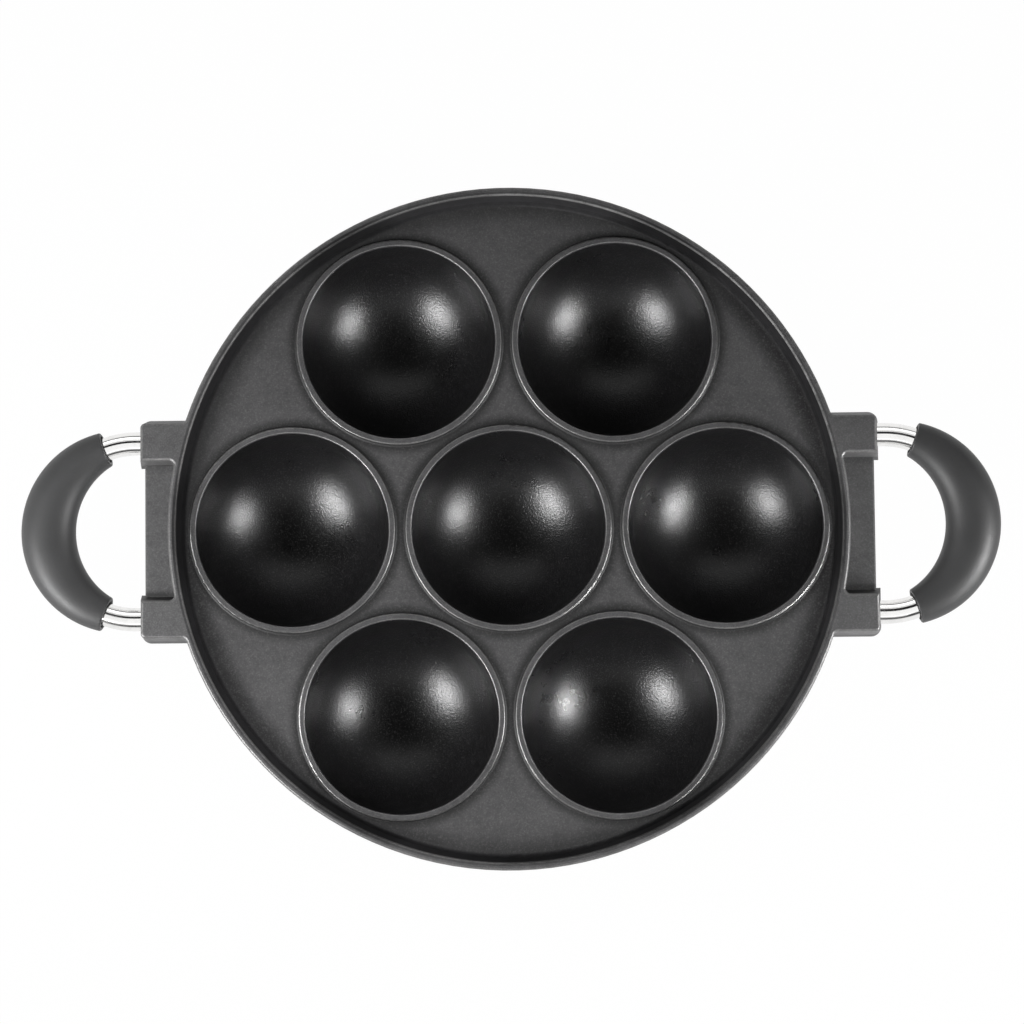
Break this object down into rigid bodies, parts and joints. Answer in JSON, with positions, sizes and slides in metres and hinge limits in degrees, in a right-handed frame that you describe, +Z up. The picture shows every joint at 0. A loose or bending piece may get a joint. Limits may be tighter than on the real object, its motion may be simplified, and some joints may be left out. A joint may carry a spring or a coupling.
{
  "type": "aebleskiver pan",
  "caption": "Round stovetop pan with deep ball-shaped cups in a raised rim, and a plated rod handle with a moulded grip on each side.",
  "frame": {"origin": "middle of the plane that the cup feet stand on, under the centre of the middle cup", "axes": "+Z up out of the cups, +X towards the right handle, +Y towards the rear of the pan"},
  "size_m": [0.3324, 0.2302, 0.0432],
  "materials": {
    "coated_casting": "dark non-stick coating on cast aluminium",
    "plated_rod": "bright chrome plating",
    "moulded_grip": "satin moulded heat-resistant plastic",
    "screw_steel": "zinc-plated steel"
  },
  "bodies": {
    "root": {"pan_casting": "coated_casting", "left_handle_rod": "plated_rod", "right_handle_rod": "plated_rod", "left_grip": "moulded_grip", "right_grip": "moulded_grip", "right_rear_screw": "screw_steel", "right_front_screw": "screw_steel", "left_rear_screw": "screw_steel", "left_front_screw": "screw_steel"}
  },
  "joints": []
}
